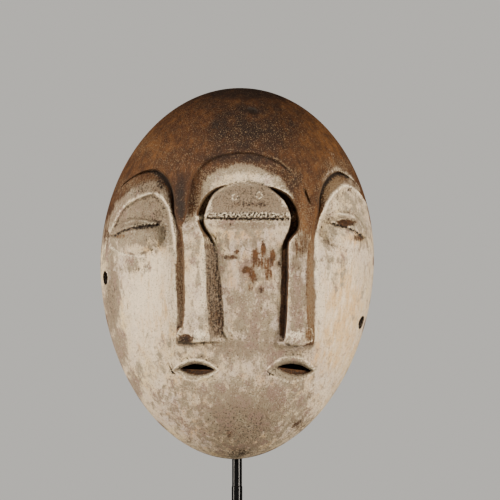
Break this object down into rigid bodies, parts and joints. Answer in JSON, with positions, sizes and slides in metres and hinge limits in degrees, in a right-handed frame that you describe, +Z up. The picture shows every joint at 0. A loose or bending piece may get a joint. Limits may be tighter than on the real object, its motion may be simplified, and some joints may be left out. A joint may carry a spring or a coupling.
{
  "type": "carved wooden mask on a rod stand",
  "caption": "Hollow egg-shaped wooden mask with an overlapping double face, painted white below a brown forehead, held by a flat steel cradle on a black rod and block.",
  "frame": {"origin": "middle of the block's underside, on the surface that the stand rests on", "axes": "+Z up along the rod, -Y the way the mask looks, +X to the right of someone who faces it"},
  "size_m": [0.221, 0.1204, 0.418],
  "materials": {
    "painted_wood": "carved light hardwood, brown above, worn white kaolin below",
    "black_steel": "gloss black",
    "black_wood": "blackened, satin"
  },
  "bodies": {
    "root": {"mask": "painted_wood", "cradle": "black_steel", "rod": "black_steel", "block": "black_wood"}
  },
  "joints": []
}
